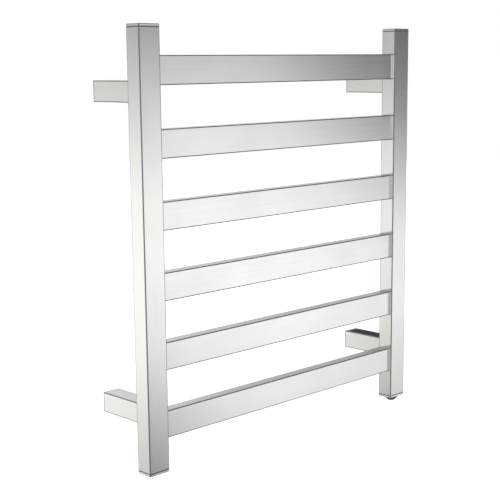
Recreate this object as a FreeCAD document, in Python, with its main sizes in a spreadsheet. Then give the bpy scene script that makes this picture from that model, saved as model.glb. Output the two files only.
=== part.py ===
# Electric towel warmer rack for a bathroom wall: two upright tube posts, flat tube bars between
# them, four arms back to the wall, a heating cable laced through the tubes and a push-button
# switch under the right post.
#
# Frame: the origin is the centre of the four wall fixings, on the wall plane. +X is to the right
# for a person facing the rack, +Y points into the wall and +Z is up. Sizes are in millimetres.
import FreeCAD
import Part
import Sketcher
import math
import os
import re

SIZES = (
    # The frame of tubes.
    ("overall_width", 640, "over the outer faces of both posts"),
    ("overall_height", 700, "over the caps of a post"),
    ("wall_reach", 120, "from the wall to the front face of the posts"),
    ("post_width", 40, "post tube, across the rack"),
    ("post_depth", 30, "post tube, front to back"),
    ("post_wall", 1.5, "wall of the post tube"),
    ("post_corner", 1.2, "outer corner radius of the post tube"),
    ("bar_count", 6, "bars between the posts"),
    ("bar_height", 45, "bar tube, up and down"),
    ("bar_depth", 20, "bar tube, front to back"),
    ("bar_wall", 1.2, "wall of the bar tube"),
    ("bar_corner", 1.0, "outer corner radius of the bar tube"),
    ("top_gap", 46, "top of the posts to the top of the first bar"),
    ("bottom_gap", 54, "bottom of the posts to the bottom of the last bar"),
    # The caps that close the posts.
    ("cap_thickness", 3.4, "cap plate"),
    ("cap_edge", 0.8, "radius round the cap's outer face"),
    ("gasket_thickness", 0.6, "gasket between a cap and its tube"),
    ("gasket_inset", 0.5, "gasket edge behind the tube's face"),
    ("skirt_length", 9, "skirt of a cap beyond its gasket"),
    ("skirt_wall", 1.5, "wall of the skirt"),
    ("skirt_clearance", 0.2, "between a skirt and the inside of its tube"),
    # The arms and what fastens them.
    ("upper_arm_drop", 100, "top of the posts to the middle of the upper arms"),
    ("lower_arm_rise", 98, "bottom of the posts to the middle of the lower arms"),
    ("arm_width", 32, "arm tube, across the rack"),
    ("arm_height", 33, "arm tube, up and down"),
    ("arm_wall", 1.5, "wall of the arm tube"),
    ("arm_corner", 1.0, "outer corner radius of the arm tube"),
    ("arm_plate", 3, "plate welded in the front end of an arm"),
    ("bolt_radius", 2.5, "arm bolt shank"),
    ("bolt_length", 10, "arm bolt under its head"),
    ("bolt_head_radius", 4.25, "arm bolt head"),
    ("bolt_head_height", 5, "arm bolt head"),
    ("bolt_socket", 2.3, "corner radius of the bolt's hexagon socket"),
    ("bolt_socket_depth", 2.5, "depth of the hexagon socket"),
    ("bolt_clearance", 0.25, "round a bolt in a plain hole"),
    ("bolt_edge", 2.25, "between a bolt head and the arm's inner walls"),
    ("thread_clearance", 0.05, "round a thread in its tapped hole"),
    ("nut_plate_thickness", 4, "tapped plate behind the post's back wall"),
    # The lid in the top of the lower right arm, over the supply cable.
    ("lid_setback", 6, "lid from the wall"),
    ("lid_clearance", 0.1, "between the lid and the arm's walls"),
    ("lid_skirt", 1.2, "skirt along each side of the lid"),
    ("lid_skirt_depth", 5, "skirt below the lid"),
    ("lid_skirt_gap", 2, "between the skirts and the pieces at both ends"),
    # The wall plates that the arms slide over, and the way in for the supply cable.
    ("spigot_clearance", 0.3, "between a wall spigot and its arm"),
    ("spigot_plate", 4, "base of a wall spigot"),
    ("rim_depth", 14, "rim of a wall spigot from the wall"),
    ("rim_wall", 1.6, "wall of the rim"),
    ("wall_screw_radius", 2.75, "hole for a wall screw"),
    ("grub_radius", 2, "grub screw that locks an arm"),
    ("grub_length", 4.5, "grub screw"),
    ("grub_setback", 8, "grub screw from the wall"),
    ("grub_recess", 0.3, "grub screw inside the arm's lower face"),
    ("grub_socket", 1.15, "corner radius of the grub screw's hexagon socket"),
    ("grub_socket_depth", 2, "depth of the grub screw's socket"),
    ("grommet_bore", 3.0, "hole for the supply cable"),
    ("grommet_sleeve", 4.1, "outside of the grommet in the spigot base"),
    ("grommet_lip", 4.4, "lip of the grommet"),
    ("grommet_lip_thickness", 1, "lip of the grommet"),
    ("grommet_margin", 0.1, "between the lip and the spigot rim"),
    ("passage_radius", 4.5, "cable hole through arm plate, post and nut plate"),
    # The heating cable and its ends.
    ("heater_radius", 3, "heating cable"),
    ("heater_stop", 40, "end of the cable before the post in the top bar"),
    ("seal_radius", 3.8, "end seal of the heating cable"),
    ("seal_length", 15, "end seal"),
    ("seal_overlap", 8, "end seal over the cable"),
    ("joint_radius", 4, "sleeve over the joint of cable and leads"),
    ("joint_rise", 36.5, "bottom of the posts to the lower end of that sleeve"),
    ("heater_straight", 2, "cable between the sleeve and the first bend"),
    # The electrical parts in the foot of the right post.
    ("wall_gap", 0.5, "between an inner part and the post wall beside it"),
    ("block_rise", 33, "bottom of the posts to the terminal block"),
    ("block_width", 9, "terminal block, across the rack"),
    ("block_depth", 16, "terminal block, front to back"),
    ("block_height", 26, "terminal block, up and down"),
    ("terminal_count", 3, "live, earth and neutral"),
    ("terminal_pitch", 8, "between terminal screws"),
    ("terminal_radius", 2, "terminal screw"),
    ("terminal_length", 6, "terminal screw"),
    ("limiter_width", 7, "thermal limiter, across the rack"),
    ("limiter_depth", 12, "thermal limiter, front to back"),
    ("limiter_height", 20, "thermal limiter, up and down"),
    ("limiter_edge", 1.2, "rounded edges of the limiter"),
    ("stud_rise", 18, "bottom of the posts to the earth stud"),
    ("stud_offset", 4, "earth stud in front of the post's middle"),
    ("stud_radius", 2, "earth stud"),
    ("stud_end_gap", 2, "between the stud's end and the switch barrel"),
    ("stud_nut_radius", 4.04, "corner radius of the earth nut"),
    ("stud_nut_thickness", 3, "earth nut"),
    ("tag_radius", 4, "eye of the earth tag"),
    ("tag_thickness", 0.8, "earth tag"),
    ("tag_length", 6, "middle of the eye to the tag's tip"),
    ("lead_radius", 0.9, "insulated lead"),
    ("lead_bend", 1.8, "bend radius of a lead"),
    ("lead_rise", 31, "bottom of the posts to the level that the leads cross at"),
    ("lead_gap", 0.2, "between the earth lead and the wall beside it"),
    ("lead_step", 2.6, "between leads beside each other, front to back"),
    ("joint_lead_offset", 1.2, "leads either side of the joint's middle"),
    # The push-button switch, upright in the right post's bottom cap.
    ("nut_clearance", 0.5, "between the ring nut and the cap's skirt"),
    ("nut_land", 1.8, "ring nut outside the barrel"),
    ("nut_thickness", 3, "ring nut"),
    ("nut_notch_width", 2.4, "width of a notch in the ring nut"),
    ("nut_notches", 4, "notches round the ring nut"),
    ("barrel_clearance", 0.1, "round the barrel in the cap"),
    ("barrel_height", 23, "barrel above the underside of the cap"),
    ("barrel_wall", 1.1, "wall of the barrel"),
    ("bezel_land", 2.25, "bezel outside the barrel"),
    ("bezel_thickness", 5, "bezel under its gasket"),
    ("bezel_rim", 2.2, "upright part of the bezel's edge"),
    ("bezel_taper", 2.6, "bezel narrows by this to its lower face"),
    ("bezel_gasket", 1, "gasket above the bezel"),
    ("gasket_land", 0.45, "bezel beyond its gasket"),
    ("button_land", 0.9, "button inside the barrel's bore"),
    ("button_fit", 0.1, "running clearance round the button"),
    ("button_drop", 3, "button below the bezel"),
    ("button_round", 2.4, "rounded end of the button"),
    ("button_travel", 2, "how far the button goes in"),
    ("collar_clearance", 0.3, "between the button's collar and the barrel"),
    ("collar_thickness", 1.5, "collar that rests on the bezel's lip"),
    ("stem_radius", 2.4, "stem of the button"),
    ("stem_length", 11, "stem above the collar"),
    ("seat_rise", 7.5, "lip of the bezel to the spring seat"),
    ("seat_thickness", 1.5, "spring seat"),
    ("seat_clearance", 0.1, "round the seat, and round the stem in it"),
    ("spring_wire", 0.4, "radius of the spring's wire"),
    ("spring_turns", 3.5, "turns of the spring"),
    ("bridge_thickness", 0.8, "contact disc on the stem"),
    ("bridge_drop", 0.5, "contact disc below the stem's end"),
    ("bridge_clearance", 0.4, "between the contact disc and the insulator"),
    ("contact_gap", 0.1, "left between the contacts with the button in"),
    ("insulator_wall", 1.5, "wall of the insulator's sleeve"),
    ("insulator_plug", 7, "solid end of the insulator"),
    ("blade_thickness", 0.8, "contact blade"),
    ("blade_width", 3, "contact blade"),
    ("blade_offset", 4, "blade inside the outside of the barrel"),
    ("blade_tail", 6, "blade above the barrel"),
    ("slot_clearance", 0.05, "round a blade in its slot"),
)

# Sizes and places that follow from the ones above.
DERIVED = {
    "fixing_spacing": "overall_height - upper_arm_drop - lower_arm_rise",
    "bottom": "-fixing_spacing / 2 - lower_arm_rise",
    "top": "fixing_spacing / 2 + upper_arm_drop",
    "post_x": "(overall_width - post_width) / 2",
    "post_y": "post_depth / 2 - wall_reach",
    "post_inside": "post_width / 2 - post_wall",
    "back_inside": "post_depth - wall_reach - post_wall",
    "cap_and_gasket": "cap_thickness + gasket_thickness",
    "tube_length": "overall_height - 2 * cap_and_gasket",
    "bar_length": "overall_width - 2 * post_width",
    "bar_pitch": "(overall_height - top_gap - bottom_gap - bar_height) / (bar_count - 1)",
    "last_bar_rise": "bottom_gap + bar_height / 2",
    "skirt_width": "post_width - 2 * post_wall - 2 * skirt_clearance",
    "skirt_depth": "post_depth - 2 * post_wall - 2 * skirt_clearance",
    "arm_length": "wall_reach - post_depth",
    "arm_bore_width": "arm_width - 2 * arm_wall",
    "arm_bore_height": "arm_height - 2 * arm_wall",
    "bolt_x": "arm_bore_width / 2 - bolt_head_radius - bolt_edge",
    "bolt_z": "arm_bore_height / 2 - bolt_head_radius - bolt_edge",
    "lid_length": "arm_length - lid_setback",
    "skirt_run": "arm_length - arm_plate - rim_depth - 2 * lid_skirt_gap",
    "spigot_width": "arm_bore_width - 2 * spigot_clearance",
    "spigot_height": "arm_bore_height - 2 * spigot_clearance",
    "cable_drop": "spigot_height / 2 - rim_wall - grommet_lip - grommet_margin",
    "bend_radius": "post_width / 2",
    "barrel_radius": "skirt_depth / 2 - skirt_wall - nut_clearance - nut_land",
    "cavity_radius": "barrel_radius - barrel_wall",
    "button_radius": "cavity_radius - button_land",
    "bezel_radius": "barrel_radius + bezel_land",
    "bezel_drop": "bezel_gasket + bezel_thickness",
    "collar_top": "collar_thickness - bezel_gasket",
    "stem_top": "collar_top + stem_length",
    "seat_bottom": "seat_rise - bezel_gasket",
    "seat_top": "seat_bottom + seat_thickness",
    "bridge_top": "stem_top - bridge_drop",
    "blade_bottom": "bridge_top + button_travel + contact_gap",
    "plug_bottom": "barrel_height - insulator_plug",
    "sleeve_bore": "cavity_radius - seat_clearance - insulator_wall",
    "blade_x": "barrel_radius - blade_offset",
    "block_x": "post_inside - wall_gap - block_width / 2",
    "limiter_x": "-post_inside + wall_gap + limiter_width / 2",
    "tag_x": "-post_inside + lead_radius + lead_gap",
}
ALIASES = {alias for alias, number, note in SIZES}
SIDES = (("left", -1), ("right", 1))
LEVELS = (("upper", 1), ("lower", -1))

X_AXIS = FreeCAD.Vector(1, 0, 0)
Y_AXIS = FreeCAD.Vector(0, 1, 0)
Z_AXIS = FreeCAD.Vector(0, 0, 1)
FORWARD = FreeCAD.Rotation(X_AXIS, 90)       # turns a piece made along +Z to run along -Y
SIDEWAYS = FreeCAD.Rotation(Y_AXIS, 90)      # turns a piece made along +Z to run along +X
UPSIDE_DOWN = FreeCAD.Rotation(X_AXIS, 180)
LENGTH_TOLERANCE = 1e-4
VOLUME_TOLERANCE = 0.005                     # share of a swept tube's volume

doc = FreeCAD.newDocument("TowelWarmer")
sheet = doc.addObject("Spreadsheet::Sheet", "Sizes")
pieces = []      # the sub-parts, each one file
cuts = []        # (feature, the feature it cuts) pairs, to be compared by volume


def expression(text):
    """Turn text written with size names into an expression on the sheet."""

    def swap(match):
        word = match.group()
        if word in DERIVED:
            return f"({expression(DERIVED[word])})"
        return f"Sizes.{word}" if word in ALIASES else word

    return re.sub(r"[A-Za-z_]+", swap, str(text))


def number(text):
    """Work out text written with size names."""
    return float(sheet.evalExpression(expression(text)))


def bind(thing, name, text):
    """Tie one property of a document object to the sheet."""
    thing.setExpression(name, expression(text))


def place(thing, x, y, z, rotation=None):
    """Turn a document object and tie its position to the sheet."""
    if rotation:
        thing.Placement = FreeCAD.Placement(FreeCAD.Vector(), rotation)
    for axis, text in zip("xyz", (x, y, z)):
        bind(thing, f".Placement.Base.{axis}", text)
    return thing


def keep(thing, label):
    """Name a document object as a sub-part."""
    thing.Label = label
    pieces.append(thing)
    return thing


# Bodies: sketches and the features made from them.

def new_body(label):
    return keep(doc.addObject("PartDesign::Body", label), label)


def origin_feature(body, role):
    return next(item for item in body.Origin.OriginFeatures if item.Role == role)


def sketch_on(body, role, offset="0"):
    """Start a sketch on one of the body's own planes, moved along the plane's normal."""
    sketch = body.newObject("Sketcher::SketchObject", body.Label + "_sketch")
    sketch.AttachmentSupport = [(origin_feature(body, role), "")]
    sketch.MapMode = "FlatFace"
    bind(sketch, ".AttachmentOffset.Base.z", offset)
    return sketch


def dimension(sketch, kind, places, text):
    """Add a driving dimension tied to the sheet."""
    index = sketch.addConstraint(Sketcher.Constraint(kind, *places, number(text)))
    name = f"size_{index}"
    sketch.renameConstraint(index, name)
    bind(sketch, f"Constraints.{name}", text)


def polygon(sketch, corners):
    """Draw a closed outline through corners, each a pair of texts."""
    points = [FreeCAD.Vector(number(x), number(y), 0) for x, y in corners]
    lines = [
        sketch.addGeometry(Part.LineSegment(start, end), False)
        for start, end in zip(points, points[1:] + points[:1])
    ]
    for line, following in zip(lines, lines[1:] + lines[:1]):
        sketch.addConstraint(Sketcher.Constraint("Coincident", line, 2, following, 1))
    for line, (x, y) in zip(lines, corners):
        dimension(sketch, "DistanceX", (-1, 1, line, 1), x)
        dimension(sketch, "DistanceY", (-1, 1, line, 1), y)


def rectangle(sketch, x, y, width, height):
    """Draw a rectangle about the point x, y."""
    low_x = f"({x}) - ({width}) / 2"
    high_x = f"({x}) + ({width}) / 2"
    low_y = f"({y}) - ({height}) / 2"
    high_y = f"({y}) + ({height}) / 2"
    polygon(sketch, ((low_x, low_y), (high_x, low_y), (high_x, high_y), (low_x, high_y)))


def circle(sketch, x, y, radius):
    """Draw a circle about the point x, y."""
    centre = FreeCAD.Vector(number(x), number(y), 0)
    ring = sketch.addGeometry(Part.Circle(centre, Z_AXIS, number(radius)), False)
    dimension(sketch, "Radius", (ring,), radius)
    dimension(sketch, "DistanceX", (-1, 1, ring, 3), x)
    dimension(sketch, "DistanceY", (-1, 1, ring, 3), y)


def pad(body, sketch, length):
    """Raise a sketch along its own normal."""
    feature = body.newObject("PartDesign::Pad", body.Label + "_pad")
    feature.Profile = (sketch, [""])
    bind(feature, "Length", length)
    return feature


def pocket(body, sketch, length, forwards=False):
    """Cut a sketch's outline out of the body, against its normal or along it."""
    base = body.Tip
    feature = body.newObject("PartDesign::Pocket", body.Label + "_pocket")
    feature.Profile = (sketch, [""])
    feature.Type = "Length"
    feature.Reversed = forwards
    bind(feature, "Length", length)
    cuts.append((feature, base))
    return feature


def revolve(body, corners):
    """Turn an outline of radius and height pairs about the body's Z axis."""
    sketch = sketch_on(body, "XZ_Plane")
    polygon(sketch, corners)
    feature = body.newObject("PartDesign::Revolution", body.Label + "_turned")
    feature.Profile = (sketch, [""])
    feature.ReferenceAxis = (origin_feature(body, "Z_Axis"), [""])
    feature.Angle = 360
    return feature


def round_edges(body, radius, chosen):
    """Round the edges of the body that chosen picks."""
    doc.recompute()
    base = body.Tip
    names = [f"Edge{count}" for count, edge in enumerate(base.Shape.Edges, 1) if chosen(edge)]
    feature = body.newObject("PartDesign::Fillet", body.Label + "_rounding")
    feature.Base = (base, names)
    bind(feature, "Radius", radius)
    return feature


def same(first, second):
    return abs(first - second) < LENGTH_TOLERANCE


def runs_along(edge, axis):
    """Tell whether a straight edge runs along X, Y or Z."""
    spans = {"X": edge.BoundBox.XLength, "Y": edge.BoundBox.YLength, "Z": edge.BoundBox.ZLength}
    return all((spans[name] > LENGTH_TOLERANCE) == (name == axis) for name in spans)


# Solids from primitives.

def box(name, length, width, height, x, y, z):
    """Make a block about x, y that stands on z."""
    block = doc.addObject("Part::Box", name)
    bind(block, "Length", length)
    bind(block, "Width", width)
    bind(block, "Height", height)
    return place(block, f"({x}) - ({length}) / 2", f"({y}) - ({width}) / 2", z)


def cylinder(name, radius, height, x="0", y="0", z="0", rotation=None):
    """Make a cylinder that starts at x, y, z."""
    rod = doc.addObject("Part::Cylinder", name)
    bind(rod, "Radius", radius)
    bind(rod, "Height", height)
    return place(rod, x, y, z, rotation)


def hexagon(name, radius, height, x="0", y="0", z="0", rotation=None):
    """Make a six-sided prism that starts at x, y, z."""
    prism = doc.addObject("Part::Prism", name)
    prism.Polygon = 6
    bind(prism, "Circumradius", radius)
    bind(prism, "Height", height)
    return place(prism, x, y, z, rotation)


def less(name, base, tools):
    """Cut each tool in turn from the base."""
    for tool in tools:
        result = doc.addObject("Part::Cut", name + "_cut")
        result.Base = base
        result.Tool = tool
        cuts.append((result, base))
        base = result
    return base


def joined(name, solids):
    """Fuse solids into one."""
    result = doc.addObject("Part::MultiFuse", name)
    result.Shapes = solids
    result.Refine = True
    return result


def group(label, solids):
    """Keep separate solids together as one sub-part."""
    bundle = doc.addObject("Part::Compound", label)
    bundle.Links = solids
    return keep(bundle, label)


def keep_shape(label, shape):
    """Keep a shape that was swept along a path."""
    feature = doc.addObject("Part::Feature", label)
    feature.Shape = shape
    return keep(feature, label)


def swept_tube(points, radius, bend):
    """Sweep a round section along straight runs joined by tangent arcs."""
    edges = []
    start = points[0]
    for before, corner, after in zip(points, points[1:], points[2:]):
        inward = (corner - before).normalize()
        outward = (after - corner).normalize()
        turn = inward.getAngle(outward)
        setback = bend * math.tan(turn / 2)
        arc_start = corner - inward * setback
        arc_end = corner + outward * setback
        towards_centre = (outward - inward).normalize()
        arc_middle = corner + towards_centre * bend * (1 / math.cos(turn / 2) - 1)
        if (arc_start - start).Length > LENGTH_TOLERANCE:
            edges.append(Part.LineSegment(start, arc_start).toShape())
        edges.append(Part.Arc(arc_start, arc_middle, arc_end).toShape())
        start = arc_end
    edges.append(Part.LineSegment(start, points[-1]).toShape())
    path = Part.Wire(edges)
    section = Part.Wire(Part.makeCircle(radius, points[0], points[1] - points[0]))
    tube = path.makePipeShell([section], True, False)
    expected = math.pi * radius ** 2 * path.Length
    if abs(tube.Volume - expected) > expected * VOLUME_TOLERANCE:
        raise RuntimeError(f"a swept tube holds {tube.Volume:.1f} mm3, not {expected:.1f}")
    return tube


# The frame of tubes.

def make_post(side, way):
    """Make a post: a tube with windows for the bars and holes for the arms."""
    label = f"{side}_post"
    post = new_body(label)
    section = sketch_on(post, "XY_Plane")
    rectangle(section, "0", "0", "post_width", "post_depth")
    rectangle(section, "0", "0", "post_width - 2 * post_wall", "post_depth - 2 * post_wall")
    pad(post, section, "tube_length")
    outside = number("post_width / 2")
    round_edges(post, "post_corner",
                lambda edge: runs_along(edge, "Z") and same(abs(edge.BoundBox.XMin), outside))
    opening = sketch_on(post, "YZ_Plane")
    rectangle(opening, "0", "last_bar_rise - cap_and_gasket",
              "bar_depth - 2 * bar_wall", "bar_height - 2 * bar_wall")
    window = pocket(post, opening, "post_width", forwards=way < 0)
    row = post.newObject("PartDesign::LinearPattern", label + "_windows")
    row.Originals = [window]
    row.Direction = (origin_feature(post, "Z_Axis"), [""])
    bind(row, "Length", "bar_pitch * (bar_count - 1)")
    bind(row, "Occurrences", "bar_count")
    post.Tip = row
    fixings = sketch_on(post, "XZ_Plane")
    for rise in ("lower_arm_rise", "overall_height - upper_arm_drop"):
        for bolt in ("-bolt_x", "bolt_x"):
            circle(fixings, bolt, f"{rise} - cap_and_gasket + bolt_z", "bolt_radius + bolt_clearance")
        circle(fixings, "0", f"{rise} - cap_and_gasket - cable_drop", "passage_radius")
    pocket(post, fixings, "post_depth")
    place(post, f"{way} * post_x", "post_y", "bottom + cap_and_gasket")


def make_bar(count):
    """Make a bar, counted from the top, butted between the posts."""
    label = f"bar_{count}"
    bar = new_body(label)
    section = sketch_on(bar, "YZ_Plane")
    rectangle(section, "0", "0", "bar_depth", "bar_height")
    rectangle(section, "0", "0", "bar_depth - 2 * bar_wall", "bar_height - 2 * bar_wall")
    pad(bar, section, "bar_length")
    outside = number("bar_depth / 2")
    round_edges(bar, "bar_corner",
                lambda edge: runs_along(edge, "X") and same(abs(edge.BoundBox.YMin), outside))
    place(bar, "-bar_length / 2", "post_y",
          f"top - top_gap - bar_height / 2 - {count - 1} * bar_pitch")


def make_cap(end, side, way):
    """Make a cap: a plate with a skirt that plugs into the post."""
    cap = new_body(f"cap_{end}_{side}")
    outline = sketch_on(cap, "XY_Plane")
    rectangle(outline, "0", "0", "post_width", "post_depth")
    pad(cap, outline, "cap_thickness")
    round_edges(cap, "post_corner", lambda edge: runs_along(edge, "Z"))
    round_edges(cap, "cap_edge", lambda edge: same(edge.BoundBox.ZMax, 0))
    skirt = sketch_on(cap, "XY_Plane", "cap_thickness")
    rectangle(skirt, "0", "0", "skirt_width", "skirt_depth")
    rectangle(skirt, "0", "0", "skirt_width - 2 * skirt_wall", "skirt_depth - 2 * skirt_wall")
    pad(cap, skirt, "gasket_thickness + skirt_length")
    if end == "bottom" and side == "right":
        hole = sketch_on(cap, "XY_Plane")
        circle(hole, "0", "0", "barrel_radius + barrel_clearance")
        pocket(cap, hole, "cap_thickness", forwards=True)
    if end == "top":
        place(cap, f"{way} * post_x", "post_y", "top", UPSIDE_DOWN)
    else:
        place(cap, f"{way} * post_x", "post_y", "bottom")


def make_cap_gaskets():
    """Make the thin gasket between each cap and its tube."""
    rings = []
    for side, way in SIDES:
        for level in ("top - cap_and_gasket", "bottom + cap_thickness"):
            outer = box("gasket_outer", "post_width - 2 * gasket_inset",
                        "post_depth - 2 * gasket_inset", "gasket_thickness", "0", "0", "0")
            inner = box("gasket_inner", "skirt_width", "skirt_depth",
                        "gasket_thickness", "0", "0", "0")
            ring = less("gasket", outer, [inner])
            rings.append(place(ring, f"{way} * post_x", "post_y", level))
    group("cap_gaskets", rings)


# The arms, what holds them to the posts, and what holds them to the wall.

def make_arm(level, rise, side, way):
    """Make an arm: a tube from the wall to the post with a plate welded in its front."""
    arm = new_body(f"arm_{level}_{side}")
    section = sketch_on(arm, "XZ_Plane")
    rectangle(section, "0", "0", "arm_width", "arm_height")
    rectangle(section, "0", "0", "arm_bore_width", "arm_bore_height")
    pad(arm, section, "arm_length")
    outside = number("arm_width / 2")
    round_edges(arm, "arm_corner",
                lambda edge: runs_along(edge, "Y") and same(abs(edge.BoundBox.XMin), outside))
    plate = sketch_on(arm, "XZ_Plane", "arm_length - arm_plate")
    rectangle(plate, "0", "0", "arm_bore_width", "arm_bore_height")
    pad(arm, plate, "arm_plate")
    holes = sketch_on(arm, "XZ_Plane", "arm_length - arm_plate")
    for bolt in ("-bolt_x", "bolt_x"):
        circle(holes, bolt, "bolt_z", "bolt_radius + bolt_clearance")
    circle(holes, "0", "-cable_drop", "passage_radius")
    pocket(arm, holes, "arm_plate", forwards=True)
    locking = sketch_on(arm, "XY_Plane")
    circle(locking, "0", "-grub_setback", "grub_radius + thread_clearance")
    pocket(arm, locking, "arm_height")
    if (level, side) == ("lower", "right"):
        opening = sketch_on(arm, "XY_Plane", "arm_height / 2 - arm_wall")
        rectangle(opening, "0", "-lid_setback - lid_length / 2", "arm_bore_width", "lid_length")
        pocket(arm, opening, "arm_wall", forwards=True)
    place(arm, f"{way} * post_x", "0", f"{rise} * fixing_spacing / 2")


def make_duct_lid():
    """Make the black lid that closes the cable duct in the lower right arm."""
    lid = new_body("duct_lid")
    outline = sketch_on(lid, "XY_Plane")
    rectangle(outline, "0", "-lid_setback - (lid_length + lid_clearance) / 2",
              "arm_bore_width - 2 * lid_clearance", "lid_length - lid_clearance")
    pad(lid, outline, "arm_wall")
    skirts = sketch_on(lid, "XY_Plane", "-lid_skirt_depth")
    middle = "-rim_depth - lid_skirt_gap - skirt_run / 2"
    for way in (-1, 1):
        rectangle(skirts, f"{way} * (arm_bore_width / 2 - lid_clearance - lid_skirt / 2)",
                  middle, "lid_skirt", "skirt_run")
    pad(lid, skirts, "lid_skirt_depth")
    place(lid, "post_x", "0", "-fixing_spacing / 2 + arm_height / 2 - arm_wall")


def make_wall_spigot(level, rise, side, way):
    """Make the cup screwed to the wall that an arm slides over."""
    spigot = new_body(f"wall_spigot_{level}_{side}")
    base = sketch_on(spigot, "XZ_Plane")
    rectangle(base, "0", "0", "spigot_width", "spigot_height")
    pad(spigot, base, "spigot_plate")
    rim = sketch_on(spigot, "XZ_Plane")
    rectangle(rim, "0", "0", "spigot_width", "spigot_height")
    rectangle(rim, "0", "0", "spigot_width - 2 * rim_wall", "spigot_height - 2 * rim_wall")
    pad(spigot, rim, "rim_depth")
    holes = sketch_on(spigot, "XZ_Plane")
    circle(holes, "0", "0", "wall_screw_radius")
    if (level, side) == ("lower", "right"):
        circle(holes, "0", "-cable_drop", "grommet_sleeve")
    pocket(spigot, holes, "spigot_plate", forwards=True)
    locking = sketch_on(spigot, "XY_Plane")
    circle(locking, "0", "-grub_setback", "grub_radius + thread_clearance")
    pocket(spigot, locking, "arm_height")
    place(spigot, f"{way} * post_x", "0", f"{rise} * fixing_spacing / 2")


def make_arm_fasteners():
    """Make the bolts, tapped plates and grub screws of all the arms."""
    bolts = []
    plates = []
    grub_screws = []
    for side, way in SIDES:
        for level, rise in LEVELS:
            x = f"{way} * post_x"
            z = f"{rise} * fixing_spacing / 2"
            plate = box("nut_plate_blank", "arm_bore_width", "nut_plate_thickness",
                        "arm_bore_height", "0", "-nut_plate_thickness / 2", "-arm_bore_height / 2")
            tapped = [
                cylinder("tapped_hole", "bolt_radius + thread_clearance", "nut_plate_thickness",
                         bolt, "0", "bolt_z", FORWARD)
                for bolt in ("-bolt_x", "bolt_x")
            ]
            passage = cylinder("passage", "passage_radius", "nut_plate_thickness",
                               "0", "0", "-cable_drop", FORWARD)
            plate = less("nut_plate", plate, tapped + [passage])
            plates.append(place(plate, x, "back_inside", z))
            for bolt in ("-bolt_x", "bolt_x"):
                shank = cylinder("bolt_shank", "bolt_radius", "bolt_length", rotation=FORWARD)
                head = cylinder("bolt_head", "bolt_head_radius", "bolt_head_height",
                                y="bolt_head_height", rotation=FORWARD)
                socket = hexagon("bolt_socket", "bolt_socket", "bolt_socket_depth",
                                 y="bolt_head_height", rotation=FORWARD)
                screw = less("bolt", joined("bolt_blank", [head, shank]), [socket])
                bolts.append(place(screw, f"{x} + ({bolt})", "arm_plate - arm_length",
                                   f"{z} + bolt_z"))
            thread = cylinder("grub_thread", "grub_radius", "grub_length")
            socket = hexagon("grub_socket", "grub_socket", "grub_socket_depth")
            grub = less("grub_screw", thread, [socket])
            grub_screws.append(place(grub, x, "-grub_setback",
                                     f"{z} - arm_height / 2 + grub_recess"))
    group("arm_nut_plates", plates)
    group("arm_bolts", bolts)
    group("arm_grub_screws", grub_screws)


def make_supply_grommet():
    """Make the rubber bush where the supply cable comes in through the lower right spigot."""
    sleeve = cylinder("grommet_sleeve_rod", "grommet_sleeve", "spigot_plate", rotation=FORWARD)
    lip = cylinder("grommet_lip_rod", "grommet_lip", "grommet_lip_thickness",
                   y="-spigot_plate", rotation=FORWARD)
    bore = cylinder("grommet_bore_rod", "grommet_bore", "spigot_plate + grommet_lip_thickness",
                    rotation=FORWARD)
    bush = less("supply_grommet", joined("grommet_blank", [sleeve, lip]), [bore])
    place(bush, "post_x", "0", "-fixing_spacing / 2 - cable_drop")
    keep(bush, "supply_grommet")


# The heating cable.

def make_heater():
    """Lace the heating cable through the tubes, from the joint up to the top bar."""
    reach = number("post_x")
    depth = number("post_y")
    pitch = number("bar_pitch")
    level = number("bottom + last_bar_rise")
    bars = int(number("bar_count"))
    joint_top = level - number("bend_radius + heater_straight")
    way = 1
    points = [FreeCAD.Vector(reach, depth, joint_top)]
    for count in range(bars):
        points.append(FreeCAD.Vector(way * reach, depth, level + count * pitch))
        way = -way
        points.append(FreeCAD.Vector(way * reach, depth, level + count * pitch))
    end = points[-1]
    end.x -= math.copysign(number("post_width / 2 + heater_stop"), end.x)
    keep_shape("heating_cable",
               swept_tube(points, number("heater_radius"), number("bend_radius")))

    seal_way = "1" if end.x > points[-2].x else "-1"
    seal_x = f"{seal_way} * (post_x - post_width / 2 - heater_stop)"
    blank = cylinder("seal_blank", "seal_radius", "seal_length", rotation=SIDEWAYS)
    socket = cylinder("seal_socket", "heater_radius", "seal_overlap", rotation=SIDEWAYS)
    seal = less("cable_end_seal", blank, [socket])
    place(seal, f"{seal_x} - seal_overlap", "post_y",
          "bottom + last_bar_rise + bar_pitch * (bar_count - 1)")
    keep(seal, "cable_end_seal")

    joint = cylinder("cold_joint", "joint_radius",
                     "last_bar_rise - bend_radius - heater_straight - joint_rise",
                     "post_x", "post_y", "bottom + joint_rise")
    keep(joint, "cold_joint")


# The electrical parts in the foot of the right post.

def make_terminal_block():
    """Make the terminal block on the outer side wall, and its screws."""
    screw_y = "post_y - block_depth / 2"
    middle = "bottom + block_rise + block_height / 2"
    blank = box("block_blank", "block_width", "block_depth", "block_height",
                "post_x + block_x", "post_y", "bottom + block_rise")
    screws = []
    sockets = []
    for count in range(int(number("terminal_count"))):
        z = f"{middle} + ({count} - (terminal_count - 1) / 2) * terminal_pitch"
        back = f"{screw_y} + terminal_length"
        screws.append(cylinder("terminal_screw", "terminal_radius", "terminal_length",
                               "post_x + block_x", back, z, FORWARD))
        sockets.append(cylinder("terminal_socket", "terminal_radius + thread_clearance",
                                "terminal_length", "post_x + block_x", back, z, FORWARD))
    keep(less("terminal_block", blank, sockets), "terminal_block")
    group("terminal_screws", screws)


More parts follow.
